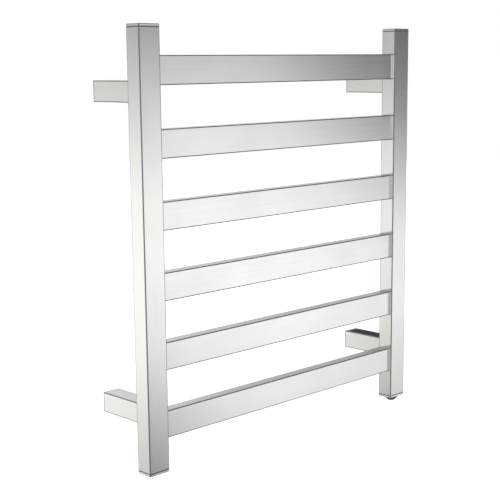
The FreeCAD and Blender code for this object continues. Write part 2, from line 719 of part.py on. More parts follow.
def make_thermal_limiter():
    """Make the limiter that cuts the heat off, on the inner side wall."""
    limiter = new_body("thermal_limiter")
    outline = sketch_on(limiter, "XY_Plane")
    rectangle(outline, "0", "0", "limiter_width", "limiter_depth")
    pad(limiter, outline, "limiter_height")
    round_edges(limiter, "limiter_edge", lambda edge: runs_along(edge, "Z"))
    place(limiter, "post_x + limiter_x", "post_y", "bottom + block_rise")


def make_earth_point():
    """Make the earth stud, its tag and its nut on the inner side wall."""
    wall = "post_x - post_inside"
    y = "post_y - stud_offset"
    z = "bottom + stud_rise"
    stud = cylinder("earth_stud", "stud_radius",
                    "post_inside - barrel_radius - stud_end_gap", wall, y, z, SIDEWAYS)
    keep(stud, "earth_stud")
    eye = cylinder("tag_eye", "tag_radius", "tag_thickness", rotation=SIDEWAYS)
    tongue = box("tag_tongue", "tag_thickness", "tag_radius", "tag_length",
                 "tag_thickness / 2", "0", "0")
    hole = cylinder("tag_hole", "stud_radius + thread_clearance", "tag_thickness",
                    rotation=SIDEWAYS)
    tag = less("earth_tag", joined("tag_blank", [eye, tongue]), [hole])
    keep(place(tag, wall, y, z), "earth_tag")
    nut = hexagon("nut_blank", "stud_nut_radius", "stud_nut_thickness", rotation=SIDEWAYS)
    thread = cylinder("nut_thread", "stud_radius + thread_clearance", "stud_nut_thickness",
                      rotation=SIDEWAYS)
    nut = less("earth_nut", nut, [thread])
    keep(place(nut, f"{wall} + tag_thickness", y, z), "earth_nut")


def make_leads():
    """Make the leads between switch, limiter, joint, terminal block and earth tag."""
    low = "blade_tail + barrel_height"
    level = "lead_rise"
    block = "block_rise"
    routes = (
        (("blade_x", "0", low), ("block_x", "0", block)),
        (("-blade_x", "0", low), ("limiter_x", "0", block)),
        (("-joint_lead_offset", "lead_step", "joint_rise"), ("limiter_x", "lead_step", block)),
        (("joint_lead_offset", "lead_step", "joint_rise"), ("block_x", "lead_step", block)),
        (("tag_x", "-stud_offset", "stud_rise + tag_length"), ("block_x", "-stud_offset", block)),
    )
    tubes = []
    for start, end in routes:
        corners = (start, (start[0], start[1], level), (end[0], end[1], level), end)
        points = [
            FreeCAD.Vector(number(f"post_x + {x}"), number(f"post_y + {y}"), number(f"bottom + {z}"))
            for x, y, z in corners
        ]
        tube = doc.addObject("Part::Feature", "lead")
        tube.Shape = swept_tube(points, number("lead_radius"), number("lead_bend"))
        tubes.append(tube)
    group("internal_leads", tubes)


# The switch. Heights are from the underside of the cap.

def turned(label, corners):
    """Make a turned piece of the switch, upright in the right post."""
    body = new_body(label)
    revolve(body, corners)
    return place(body, "post_x", "post_y", "bottom")


def ring_corners(inner, outer, low, high):
    return ((inner, low), (outer, low), (outer, high), (inner, high))


def make_switch_housing():
    """Make the bezel and the barrel as one turned piece, and its gasket."""
    bore = "button_radius + button_fit"
    turned("switch_housing", (
        (bore, "-bezel_drop"),
        ("bezel_radius - bezel_taper", "-bezel_drop"),
        ("bezel_radius", "-bezel_gasket - bezel_rim"),
        ("bezel_radius", "-bezel_gasket"),
        ("barrel_radius", "-bezel_gasket"),
        ("barrel_radius", "barrel_height"),
        ("cavity_radius", "barrel_height"),
        ("cavity_radius", "-bezel_gasket"),
        (bore, "-bezel_gasket"),
    ))
    turned("switch_gasket", ring_corners("barrel_radius + barrel_clearance",
                                         "bezel_radius - gasket_land", "-bezel_gasket", "0"))


def make_ring_nut():
    """Make the notched nut that clamps the switch in the cap."""
    blank = cylinder("ring_nut_blank", "barrel_radius + nut_land", "nut_thickness")
    thread = cylinder("ring_nut_thread", "barrel_radius + thread_clearance", "nut_thickness")
    notches = []
    total = int(number("nut_notches"))
    for count in range(total):
        angle = 360 * count / total
        reach = f"(barrel_radius + nut_land) * {{}}({angle} deg)"
        notch = doc.addObject("Part::Cylinder", "ring_nut_notch")
        bind(notch, "Radius", "nut_notch_width / 2")
        bind(notch, "Height", "nut_thickness")
        notches.append(place(notch, reach.format("cos"), reach.format("sin"), "0"))
    nut = less("switch_nut", blank, [thread] + notches)
    keep(place(nut, "post_x", "post_y", "bottom + cap_thickness"), "switch_nut")


def make_push_button():
    """Make the button with its collar and stem, and the contact disc on the stem."""
    button = turned("push_button", (
        ("0", "-bezel_drop - button_drop"),
        ("button_radius", "-bezel_drop - button_drop"),
        ("button_radius", "-bezel_gasket"),
        ("cavity_radius - collar_clearance", "-bezel_gasket"),
        ("cavity_radius - collar_clearance", "collar_top"),
        ("stem_radius", "collar_top"),
        ("stem_radius", "stem_top"),
        ("0", "stem_top"),
    ))
    end = number("-bezel_drop - button_drop")
    round_edges(button, "button_round", lambda edge: same(edge.BoundBox.ZMax, end))
    turned("contact_bridge", ring_corners("stem_radius", "sleeve_bore - bridge_clearance",
                                          "bridge_top - bridge_thickness", "bridge_top"))


def make_switch_inside():
    """Make the spring, its seat, the insulator and the contact blades."""
    turned("spring_seat", ring_corners("stem_radius + seat_clearance",
                                       "cavity_radius - seat_clearance",
                                       "seat_bottom", "seat_top"))
    wire = number("spring_wire")
    low = number("bottom + collar_top") + wire
    height = number("bottom + seat_bottom") - wire - low
    coil_radius = number("(stem_radius + cavity_radius) / 2")
    coil = Part.makeHelix(height / number("spring_turns"), height, coil_radius)
    section = Part.Wire(Part.makeCircle(wire, FreeCAD.Vector(coil_radius, 0, 0), Y_AXIS))
    spring = keep_shape("switch_spring", Part.Wire(coil).makePipeShell([section], True, True))
    spring.Placement = FreeCAD.Placement(
        FreeCAD.Vector(number("post_x"), number("post_y"), low), FreeCAD.Rotation())

    outer = "cavity_radius - seat_clearance"
    insulator = turned("switch_insulator", (
        ("sleeve_bore", "seat_top"),
        (outer, "seat_top"),
        (outer, "barrel_height"),
        ("0", "barrel_height"),
        ("0", "plug_bottom"),
        ("sleeve_bore", "plug_bottom"),
    ))
    slots = sketch_on(insulator, "XY_Plane", "barrel_height")
    blades = []
    for x in ("-blade_x", "blade_x"):
        rectangle(slots, x, "0", "blade_thickness + 2 * slot_clearance",
                  "blade_width + 2 * slot_clearance")
        blades.append(box("switch_blade", "blade_thickness", "blade_width",
                          "barrel_height + blade_tail - blade_bottom",
                          f"post_x + ({x})", "post_y", "bottom + blade_bottom"))
    pocket(insulator, slots, "insulator_plug")
    group("switch_blades", blades)


def fill_sheet():
    """Write the sizes into the sheet, with what each one is."""
    for row, (alias, size, note) in enumerate(SIZES, 1):
        sheet.set(f"A{row}", note)
        sheet.set(f"B{row}", str(size))
        sheet.setAlias(f"B{row}", alias)
    doc.recompute()


def check_document():
    """Stop if a feature failed, a cut removed nothing or a sub-part isn't a sound solid."""
    for thing in doc.Objects:
        if "Invalid" in thing.State or "Error" in thing.State:
            raise RuntimeError(f"{thing.Label} failed: {thing.State}")
    for feature, base in cuts:
        if not feature.Shape.Volume < base.Shape.Volume:
            raise RuntimeError(f"{feature.Label} cuts nothing from {base.Label}")
    for piece in pieces:
        shape = piece.Shape
        if shape.isNull() or not shape.isValid() or not shape.Solids:
            raise RuntimeError(f"{piece.Label} isn't a valid solid")


fill_sheet()
for side_name, side_way in SIDES:
    make_post(side_name, side_way)
for bar_number in range(1, int(number("bar_count")) + 1):
    make_bar(bar_number)
for cap_end in ("top", "bottom"):
    for side_name, side_way in SIDES:
        make_cap(cap_end, side_name, side_way)
make_cap_gaskets()
for level_name, level_rise in LEVELS:
    for side_name, side_way in SIDES:
        make_arm(level_name, level_rise, side_name, side_way)
        make_wall_spigot(level_name, level_rise, side_name, side_way)
make_duct_lid()
make_arm_fasteners()
make_supply_grommet()
make_heater()
make_terminal_block()
make_thermal_limiter()
make_earth_point()
make_leads()
make_switch_housing()
make_ring_nut()
make_push_button()
make_switch_inside()
doc.recompute()
check_document()

os.makedirs("parts", exist_ok=True)
for piece in pieces:
    piece.Shape.exportStep(f"parts/{piece.Label}.step")
    print(f"{piece.Label}: {len(piece.Shape.Solids)} solid(s), {piece.Shape.Volume:.0f} mm3")
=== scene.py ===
"""The looks of a wall-mounted electric towel warmer rack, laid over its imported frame."""

import logging
import math
from abc import ABC, abstractmethod
from dataclasses import dataclass
from enum import Enum
from functools import cache

import bmesh
import bpy
from mathutils import Matrix, Vector


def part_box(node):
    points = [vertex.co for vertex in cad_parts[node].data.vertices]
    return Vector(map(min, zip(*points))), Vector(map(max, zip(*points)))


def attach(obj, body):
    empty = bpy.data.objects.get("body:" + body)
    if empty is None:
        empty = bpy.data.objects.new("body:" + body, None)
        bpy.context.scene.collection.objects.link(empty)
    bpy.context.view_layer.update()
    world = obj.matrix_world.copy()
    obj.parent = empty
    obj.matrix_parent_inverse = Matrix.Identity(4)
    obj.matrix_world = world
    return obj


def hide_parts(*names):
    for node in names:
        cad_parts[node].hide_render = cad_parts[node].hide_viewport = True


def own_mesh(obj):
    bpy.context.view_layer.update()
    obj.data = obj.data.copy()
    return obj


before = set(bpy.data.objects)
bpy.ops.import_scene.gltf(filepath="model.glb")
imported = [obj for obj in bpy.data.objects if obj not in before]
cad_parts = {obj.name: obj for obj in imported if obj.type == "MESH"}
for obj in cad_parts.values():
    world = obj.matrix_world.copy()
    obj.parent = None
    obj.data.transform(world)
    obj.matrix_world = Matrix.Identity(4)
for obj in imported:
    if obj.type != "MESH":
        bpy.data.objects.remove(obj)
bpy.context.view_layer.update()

log = logging.getLogger("towel_warmer")
Colour = tuple[float, float, float]
Socket = bpy.types.NodeSocket
MM = 0.001
MIDDLE = 0.5    # of a coordinate that runs from 0 to 1 over a piece


class Grain(Enum):
    """The way a piece is brushed, as the axis that the scratches run along."""

    ACROSS_RACK = 0
    TO_WALL = 1
    UPRIGHT = 2

    @property
    def direction(self) -> Vector:
        """Give the unit vector along the scratches."""
        return Vector([float(axis == self.value) for axis in range(3)])

    def squeezed(self, share: float) -> Vector:
        """Give the scale that draws a pattern out along the scratches, where 1 leaves it round."""
        return Vector([share if axis == self.value else 1.0 for axis in range(3)])


class Graph:
    """A material's or the world's nodes while they are put together."""

    def __init__(self, tree: bpy.types.NodeTree) -> None:
        """Start from an empty tree."""
        tree.nodes.clear()
        self.tree = tree

    def add(self, kind: str, **settings: object) -> bpy.types.Node:
        """Add a node.

        Args:
            kind: the node's type name.
            settings: properties to set on it.

        Returns:
            The new node.
        """
        node = self.tree.nodes.new(kind)
        for name, value in settings.items():
            setattr(node, name, value)
        return node

    def feed(self, socket: Socket, value: object) -> None:
        """Link a socket to another one, or set its own value.

        Args:
            socket: the input to feed.
            value: an output socket, a number, or numbers for a vector or colour.
        """
        if isinstance(value, bpy.types.NodeSocket):
            self.tree.links.new(value, socket)
        elif socket.type == "RGBA":
            socket.default_value = (*tuple(value)[:3], 1.0)
        else:
            socket.default_value = value

    def math(self, operation: str, *values: object) -> Socket:
        """Add a math node.

        Args:
            operation: the node's operation.
            values: its inputs, in order.

        Returns:
            The node's result.
        """
        node = self.add("ShaderNodeMath", operation=operation)
        for socket, value in zip(node.inputs, values):
            self.feed(socket, value)
        return node.outputs[0]

    def spread(self, value: object, low: float, high: float, to_low: float, to_high: float) -> Socket:
        """Map one range onto another smoothly, held at both ends.

        Args:
            value: the input.
            low: the input that gives to_low.
            high: the input that gives to_high.
            to_low: the result at the low end.
            to_high: the result at the high end.

        Returns:
            The mapped value.
        """
        node = self.add("ShaderNodeMapRange", interpolation_type="SMOOTHSTEP")
        for socket, given in zip(node.inputs, (value, low, high, to_low, to_high)):
            self.feed(socket, given)
        return node.outputs["Result"]

    def blend(self, share: object, first: object, second: object) -> Socket:
        """Mix two colours.

        Args:
            share: how much of the second one shows.
            first: the colour at 0.
            second: the colour at 1.

        Returns:
            The mixed colour.
        """
        node = self.add("ShaderNodeMix", data_type="RGBA")
        sockets = {socket.identifier: socket for socket in node.inputs}
        self.feed(sockets["Factor_Float"], share)
        self.feed(sockets["A_Color"], first)
        self.feed(sockets["B_Color"], second)
        return next(out for out in node.outputs if out.identifier == "Result_Color")

    def apart(self, vector: Socket) -> list[Socket]:
        """Take a vector apart.

        Args:
            vector: the vector.

        Returns:
            Its part along each axis.
        """
        node = self.add("ShaderNodeSeparateXYZ")
        self.feed(node.inputs[0], vector)
        return list(node.outputs)

    def place(self, scale: Vector) -> Socket:
        """Give the piece's own coordinates in metres, scaled along each axis.

        Args:
            scale: the scale along each axis.

        Returns:
            The scaled coordinates.
        """
        node = self.add("ShaderNodeMapping")
        self.feed(node.inputs["Vector"], self.add("ShaderNodeTexCoord").outputs["Object"])
        self.feed(node.inputs["Scale"], scale)
        return node.outputs["Vector"]

    def noise(self, size: float, scale: Vector = Vector((1, 1, 1)), detail: float = 2.0) -> Socket:
        """Add a soft random pattern.

        Args:
            size: metres from one blotch to the next.
            scale: how the pattern is drawn out.
            detail: octaves of finer pattern.

        Returns:
            The pattern's value, from 0 to 1.
        """
        node = self.add("ShaderNodeTexNoise")
        self.feed(node.inputs["Vector"], self.place(scale))
        self.feed(node.inputs["Scale"], 1.0 / size)
        self.feed(node.inputs["Detail"], detail)
        return node.outputs[0]

    def bump(self, height: Socket, depth: float) -> Socket:
        """Turn a pattern into relief.

        Args:
            height: the pattern.
            depth: metres from its lowest to its highest point.

        Returns:
            The normal for a shader.
        """
        node = self.add("ShaderNodeBump")
        self.feed(node.inputs["Strength"], 1.0)
        self.feed(node.inputs["Distance"], depth)
        self.feed(node.inputs["Height"], height)
        return node.outputs["Normal"]

    def gaps(self, size: Vector) -> list[Socket]:
        """Measure how far each point of a square piece is from the piece's ends.

        Args:
            size: the piece's size along each axis.

        Returns:
            The distance to the nearer end along each axis, in metres.
        """
        parts = self.apart(self.add("ShaderNodeTexCoord").outputs["Generated"])
        off_middle = [self.math("ABSOLUTE", self.math("SUBTRACT", part, MIDDLE)) for part in parts]
        return [self.math("MULTIPLY", self.math("SUBTRACT", MIDDLE, part), length)
                for part, length in zip(off_middle, size)]

    def edges(self, gaps: list[Socket], full: float, none: float) -> Socket:
        """Mark a strip along the edges of a square piece.

        Args:
            gaps: the distance to the piece's nearer end along each axis.
            full: metres from an edge within which the strip is fully marked.
            none: metres from an edge where the strip has faded out.

        Returns:
            1 at the edges and 0 away from them.
        """
        first, second, third = gaps
        nearer = self.math("MINIMUM", first, second)
        further = self.math("MAXIMUM", first, second)
        to_edge = self.math("MAXIMUM", nearer, self.math("MINIMUM", further, third))
        return self.spread(to_edge, full, none, 1.0, 0.0)

    def rounding(self, flat: float, rounded: float) -> Socket:
        """Mark the rounded corners of a square piece.

        Args:
            flat: the largest part of a normal along one axis that still counts as flat.
            rounded: the largest part at which the corner is fully marked.

        Returns:
            0 on the flats and 1 on the corners.
        """
        parts = self.apart(self.add("ShaderNodeTexCoord").outputs["Normal"])
        sizes = [self.math("ABSOLUTE", part) for part in parts]
        largest = self.math("MAXIMUM", self.math("MAXIMUM", sizes[0], sizes[1]), sizes[2])
        return self.spread(largest, flat, rounded, 0.0, 1.0)


class Finish(ABC):
    """A surface finish that makes its own material."""

    name: str

    @cache
    def material(self) -> bpy.types.Material:
        """Make the finish's material the first time it's asked for.

        Returns:
            The material.
        """
        made = bpy.data.materials.new(self.name)
        made.use_nodes = True
        graph = Graph(made.node_tree)
        shader = graph.add("ShaderNodeBsdfPrincipled")
        out = graph.add("ShaderNodeOutputMaterial")
        graph.feed(out.inputs["Surface"], shader.outputs["BSDF"])
        self.paint(graph, shader)
        return made

    @abstractmethod
    def paint(self, graph: Graph, shader: bpy.types.Node) -> None:
        """Set the shader's inputs."""

    def on(self, *names: str) -> None:
        """Put the finish on the CAD nodes of these names."""
        for name in names:
            self.on_piece(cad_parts[name])

    def on_piece(self, piece: bpy.types.Object) -> None:
        """Put the finish on one piece.

        Args:
            piece: the object, with or without material slots.
        """
        if piece.material_slots:
            for place in piece.material_slots:
                place.material = self.material()
        else:
            piece.data.materials.append(self.material())


@dataclass(frozen=True)
class BrushedSteel(Finish):
    """Satin stainless steel, belt brushed one way, with a duller strip at its edges that carries painted
    shade.
    """

    name: str
    grain: Grain
    like: str                           # the node that the strip is measured on
    tone: Colour = (0.80, 0.80, 0.795)
    # painted shade: the dark colour given to the strip along the edges
    edge_shade_tone: Colour = (0.28, 0.28, 0.282)
    roughness: float = 0.2
    roughness_swing: float = 0.12
    anisotropy: float = 0.45
    quarter_turn: float = 0.25
    draw_out: float = 0.006             # scale of the brushing along its length
    scratch: float = 0.45 * MM
    scratch_detail: float = 3.0
    scratch_depth: float = 0.006 * MM
    streak: float = 2.6 * MM
    streak_shade: float = 0.07
    smudge: float = 70 * MM
    smudge_shade: float = 0.03
    edge_full: float = 1.3 * MM
    edge_none: float = 1.9 * MM
    edge_dulling: float = 0.1
    open_ends: bool = True              # false where both ends are welded to something

    def paint(self, graph: Graph, shader: bpy.types.Node) -> None:
        """Draw scratches, streaks, handling smudges and the painted shade in the strip at the edges.

        Args:
            graph: the material's nodes.
            shader: the shader to feed.
        """
        along = self.grain.squeezed(self.draw_out)
        scratches = graph.noise(self.scratch, along, self.scratch_detail)
        streaks = graph.noise(self.streak, along)
        smudges = graph.noise(self.smudge)
        edges = self.strip(graph)
        toned = graph.add("ShaderNodeVectorMath", operation="SCALE")
        graph.feed(toned.inputs[0], self.tone)
        graph.feed(toned.inputs["Scale"], self.shade(graph, scratches, streaks, smudges))
        # painted shade: the strip at the edges blends the tone towards a dark colour
        graph.feed(shader.inputs["Base Color"], graph.blend(edges, toned.outputs[0], self.edge_shade_tone))
        dull = graph.math("MULTIPLY_ADD", scratches, self.roughness_swing,
                          self.roughness - self.roughness_swing / 2)
        dull = graph.math("MULTIPLY_ADD", smudges, self.roughness_swing / 2, dull)
        graph.feed(shader.inputs["Roughness"], graph.math("MULTIPLY_ADD", edges, self.edge_dulling, dull))
        graph.feed(shader.inputs["Metallic"], 1.0)
        graph.feed(shader.inputs["Anisotropic"], self.anisotropy)
        graph.feed(shader.inputs["Anisotropic Rotation"], self.quarter_turn)
        turn = graph.add("ShaderNodeCombineXYZ")
        for socket, value in zip(turn.inputs, self.grain.direction):
            graph.feed(socket, value)
        graph.feed(shader.inputs["Tangent"], turn.outputs[0])
        graph.feed(shader.inputs["Normal"], graph.bump(scratches, self.scratch_depth))

    def strip(self, graph: Graph) -> Socket:
        """Mark the strip at the edges, where shade is painted.

        Args:
            graph: the material's nodes.

        Returns:
            1 in the strip and 0 away from it.
        """
        lo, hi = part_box(self.like)
        gaps = graph.gaps(hi - lo)
        if not self.open_ends:
            gaps[self.grain.value] = max(hi - lo)
        return graph.edges(gaps, self.edge_full, self.edge_none)

    def shade(self, graph: Graph, scratches: Socket, streaks: Socket, smudges: Socket) -> Socket:
        """Add up what the brushing and the handling do to the tone.

        Args:
            graph: the material's nodes.
            scratches: the fine pattern.
            streaks: the coarser one along it.
            smudges: the marks of handling.

        Returns:
            The share of the tone that shows, around 1.
        """
        total = graph.math("MULTIPLY_ADD", streaks, self.streak_shade, 1.0 - self.streak_shade / 2)
        total = graph.math("MULTIPLY_ADD", scratches, self.streak_shade, total)
        total = graph.math("MULTIPLY_ADD", smudges, self.smudge_shade, total)
        return graph.math("SUBTRACT", total, (self.streak_shade + self.smudge_shade) / 2)


@dataclass(frozen=True)
class DullMetal(Finish):
    """Bare, plated or turned metal that isn't brushed: blotchy colour and fine pitting."""

    name: str
    tone: Colour
    stain: Colour
    roughness: float
    blotch: float = 6 * MM
    blotch_detail: float = 4.0
    stain_none: float = 0.35            # pattern value under which nothing is stained
    stain_full: float = 0.7             # pattern value over which all is stained
    stain_dulling: float = 0.15
    pit: float = 0.35 * MM
    pit_detail: float = 3.0
    pit_depth: float = 0.01 * MM
    pit_dulling: float = 0.1
    flat: float = 0.98
    rounded: float = 0.8
    corner_wear: float = 0.35
    rub: float = 1.15                   # how much brighter a rubbed corner is

    def paint(self, graph: Graph, shader: bpy.types.Node) -> None:
        """Draw stains, pits and rubbed corners.

        Args:
            graph: the material's nodes.
            shader: the shader to feed.
        """
        blotches = graph.noise(self.blotch, detail=self.blotch_detail)
        stains = graph.spread(blotches, self.stain_none, self.stain_full, 0.0, 1.0)
        pits = graph.noise(self.pit, detail=self.pit_detail)
        corners = graph.math("MULTIPLY", graph.rounding(self.flat, self.rounded), self.corner_wear)
        colour = graph.blend(stains, self.tone, self.stain)
        rubbed = tuple(min(1.0, part * self.rub) for part in self.tone)
        graph.feed(shader.inputs["Base Color"], graph.blend(corners, colour, rubbed))
        dull = graph.math("MULTIPLY_ADD", stains, self.stain_dulling, self.roughness)
        graph.feed(shader.inputs["Roughness"], graph.math("MULTIPLY_ADD", pits, self.pit_dulling, dull))
        graph.feed(shader.inputs["Metallic"], 1.0)
        graph.feed(shader.inputs["Normal"], graph.bump(pits, self.pit_depth))


@dataclass(frozen=True)
class Moulded(Finish):
    """Moulded plastic with a spark-eroded texture, polished a little at its corners."""

    name: str
    tone: Colour
    rubbed: Colour
    roughness: float = 0.48
    specular: float = 0.4
    texture: float = 0.3 * MM
    texture_detail: float = 3.0
    texture_depth: float = 0.02 * MM
    texture_swing: float = 0.14
    flow: float = 18 * MM
    flow_detail: float = 1.0
    flow_shade: float = 0.5
    flat: float = 0.97
    rounded: float = 0.8
    corner_shade: float = 0.6
    corner_polish: float = 0.1

    def paint(self, graph: Graph, shader: bpy.types.Node) -> None:
        """Draw the mould's texture, flow marks and polished corners.

        Args:
            graph: the material's nodes.
            shader: the shader to feed.
        """
        texture = graph.noise(self.texture, detail=self.texture_detail)
        flow = graph.noise(self.flow, detail=self.flow_detail)
        corners = graph.rounding(self.flat, self.rounded)
        colour = graph.blend(graph.math("MULTIPLY", flow, self.flow_shade), self.tone, self.rubbed)
        worn = graph.math("MULTIPLY", corners, self.corner_shade)
        graph.feed(shader.inputs["Base Color"], graph.blend(worn, colour, self.rubbed))
        dull = graph.math("MULTIPLY_ADD", texture, self.texture_swing,
                          self.roughness - self.texture_swing / 2)
        graph.feed(shader.inputs["Roughness"], graph.math("MULTIPLY_ADD", corners, -self.corner_polish, dull))
        graph.feed(shader.inputs["Specular IOR Level"], self.specular)
        graph.feed(shader.inputs["Normal"], graph.bump(texture, self.texture_depth))


@dataclass(frozen=True)
class Rubber(Finish):
    """Matt rubber or silicone with a pale bloom."""

    name: str
    tone: Colour
    bloom: Colour
    roughness: float = 0.75
    specular: float = 0.3
    cloud: float = 9 * MM
    cloud_detail: float = 4.0
    bloom_none: float = 0.4             # pattern value under which there is no bloom
    bloom_full: float = 0.75            # pattern value over which it is at its palest
    bloom_share: float = 0.5
    skin: float = 0.25 * MM
    skin_depth: float = 0.015 * MM
    skin_dulling: float = 0.15

    def paint(self, graph: Graph, shader: bpy.types.Node) -> None:
        """Draw the bloom and the fine skin.

        Args:
            graph: the material's nodes.
            shader: the shader to feed.
        """
        clouds = graph.noise(self.cloud, detail=self.cloud_detail)
        bloom = graph.spread(clouds, self.bloom_none, self.bloom_full, 0.0, self.bloom_share)
        skin = graph.noise(self.skin)
        graph.feed(shader.inputs["Base Color"], graph.blend(bloom, self.tone, self.bloom))
        graph.feed(shader.inputs["Roughness"],
                   graph.math("MULTIPLY_ADD", skin, self.skin_dulling, self.roughness))
        graph.feed(shader.inputs["Specular IOR Level"], self.specular)
        graph.feed(shader.inputs["Normal"], graph.bump(skin, self.skin_depth))


@dataclass(frozen=True)
class Braid(Finish):
    """A braided glass-fibre sleeve over a lead."""

    name: str
    tone: Colour
    shadow: Colour
    roughness: float = 0.8
    strand: float = 0.9 * MM
    strand_depth: float = 0.06 * MM
    strand_polish: float = 0.15
    fray: float = 0.6

    def paint(self, graph: Graph, shader: bpy.types.Node) -> None:
        """Draw two sets of crossing strands.

        Args:
            graph: the material's nodes.
            shader: the shader to feed.
        """
        sets = []
        for lean in (1.0, -1.0):
            strands = graph.add("ShaderNodeTexWave", bands_direction="DIAGONAL")
            graph.feed(strands.inputs["Vector"], graph.place(Vector((1.0, 1.0, lean))))
            graph.feed(strands.inputs["Scale"], 1.0 / (math.tau * self.strand))
            graph.feed(strands.inputs["Distortion"], self.fray)
            sets.append(strands.outputs["Fac"])
        weave = graph.math("MAXIMUM", *sets)
        graph.feed(shader.inputs["Base Color"], graph.blend(weave, self.shadow, self.tone))
        graph.feed(shader.inputs["Roughness"],
                   graph.math("MULTIPLY_ADD", weave, -self.strand_polish, self.roughness))
        graph.feed(shader.inputs["Normal"], graph.bump(weave, self.strand_depth))


# every brushed finish paints shade in a dark strip along its edges, darker on the bars and darkest on the
# caps
POST_STEEL = BrushedSteel("brushed_post", Grain.UPRIGHT, "left_post")
BAR_STEEL = BrushedSteel("brushed_bar", Grain.ACROSS_RACK, "bar_1", edge_shade_tone=(0.2, 0.2, 0.202),
                         open_ends=False)
ARM_STEEL = BrushedSteel("brushed_arm", Grain.TO_WALL, "arm_upper_left")
CAP_STEEL = BrushedSteel("brushed_cap", Grain.ACROSS_RACK, "cap_bottom_left", tone=(0.96, 0.96, 0.955),
                         edge_shade_tone=(0.06, 0.06, 0.062), edge_full=0.8 * MM, edge_none=1.4 * MM)
WELD_STEEL = DullMetal("weld_fillet", (0.52, 0.51, 0.50), (0.36, 0.34, 0.33), 0.34, blotch=3 * MM)
PRESSED_STEEL = DullMetal("pressed_cup", (0.6, 0.6, 0.6), (0.48, 0.48, 0.49), 0.36)
ZINC = DullMetal("zinc_plate", (0.7, 0.7, 0.68), (0.62, 0.58, 0.46), 0.28, blotch=3 * MM)
BRASS = DullMetal("turned_brass", (0.78, 0.6, 0.28), (0.55, 0.38, 0.17), 0.3, blotch=3 * MM)
BLACK_RUBBER = Rubber("black_rubber", (0.03, 0.03, 0.03), (0.07, 0.07, 0.07))
SILICONE = Rubber("silicone_sheath", (0.25, 0.08, 0.05), (0.33, 0.14, 0.1), roughness=0.6)
SWITCH_PLASTIC = Moulded("black_switch", (0.025, 0.025, 0.027), (0.045, 0.045, 0.05))
LID_PLASTIC = Moulded("black_lid", (0.02, 0.02, 0.021), (0.035, 0.035, 0.037),
                      roughness=0.62, specular=0.15)
PALE_PLASTIC = Moulded("pale_moulding", (0.8, 0.79, 0.74), (0.7, 0.68, 0.62))
SLEEVE = Braid("glass_sleeve", (0.42, 0.26, 0.14), (0.16, 0.09, 0.05))


@dataclass
class Posts:
    """The two upright tubes."""

    names: tuple[str, ...] = ("left_post", "right_post")

    def dress(self) -> str:
        """Brush the posts along their length, and say what was dressed."""
        POST_STEEL.on(*self.names)
        return f"{len(self.names)} tubes"


@dataclass
class Caps:
    """The plates that close the posts, and the gaskets under them."""

    gaskets: str = "cap_gaskets"

    def dress(self) -> str:
        """Give the plates their steel and the gaskets their rubber.

        Returns:
            What was dressed.
        """
        plates = [f"cap_{level}_{side}" for level in ("top", "bottom") for side in ("left", "right")]
        CAP_STEEL.on(*plates)
        BLACK_RUBBER.on(self.gaskets)
        return f"{len(plates)} plates with gaskets"


@dataclass
class Bars:
    """The flat tubes between the posts, and the fine fillet that joins each end to its post."""

    count: int = 6
    corner: float = 1.0 * MM
    fillet: float = 0.7 * MM
    sunk: float = 0.15 * MM
    corner_steps: int = 6
    fillet_steps: int = 5

    def dress(self) -> str:
        """Brush the bars along their length and join them to the posts.

        Returns:
            What was dressed and built.
        """
        for number in range(1, self.count + 1):
            name = f"bar_{number}"
            BAR_STEEL.on(name)
            lo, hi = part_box(name)
            for side, x, way in (("left", lo.x, 1.0), ("right", hi.x, -1.0)):
                self.weld(f"weld_{number}_{side}", lo, hi, x, way)
        return f"{self.count} tubes, {2 * self.count} welds"

    def weld(self, name: str, lo: Vector, hi: Vector, x: float, way: float) -> bpy.types.Object:
        """Run a hollow fillet round one end of a bar.

        Args:
            name: the new piece's name.
            lo: the bar's lowest corner.
            hi: the bar's highest corner.
            x: where the bar meets its post.
            way: 1 if the bar runs to +X from there, and -1 if to -X.

        Returns:
            The fillet.
        """
        mesh = bpy.data.meshes.new(name)
        shape = bmesh.new()
        rings = [
            [shape.verts.new((x + way * run, y + out_y * rise, z + out_z * rise))
             for run, rise in self.section()]
            for y, z, out_y, out_z in self.outline(lo, hi)
        ]
        for ring, following in zip(rings, rings[1:] + rings[:1]):
            for here in range(len(ring)):
                there = (here + 1) % len(ring)
                shape.faces.new((ring[here], ring[there], following[there], following[here]))
        bmesh.ops.recalc_face_normals(shape, faces=shape.faces)
        for face in shape.faces:
            face.smooth = True
        shape.to_mesh(mesh)
        shape.free()
        piece = bpy.data.objects.new(name, mesh)
        bpy.context.scene.collection.objects.link(piece)
        WELD_STEEL.on_piece(piece)
        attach(piece, "rack")
        return piece

    def section(self) -> list[tuple[float, float]]:
        """Give the fillet's outline.

        Returns:
            Points as (distance from the post, distance from the bar).
        """
        points = [(-self.sunk, -self.sunk), (self.fillet, -self.sunk)]
        for step in range(self.fillet_steps + 1):
            turn = math.pi / 2 * step / self.fillet_steps
            points.append((self.fillet * (1 - math.sin(turn)), self.fillet * (1 - math.cos(turn))))
        points.append((-self.sunk, self.fillet))
        return points

    def outline(self, lo: Vector, hi: Vector) -> list[tuple[float, float, float, float]]:
        """Go round a bar's section.

        Args:
            lo: the bar's lowest corner.
            hi: the bar's highest corner.

        Returns:
            Points as (y, z) with the outward direction there as (y, z).
        """
        corners = (
            (hi.y - self.corner, hi.z - self.corner),
            (lo.y + self.corner, hi.z - self.corner),
            (lo.y + self.corner, lo.z + self.corner),
            (hi.y - self.corner, lo.z + self.corner),
        )
        points = []
        for number, (y, z) in enumerate(corners):
            for step in range(self.corner_steps + 1):
                turn = math.tau * (number + step / self.corner_steps) / len(corners)
                out_y = math.cos(turn)
                out_z = math.sin(turn)
                points.append((y + self.corner * out_y, z + self.corner * out_z, out_y, out_z))
        return points


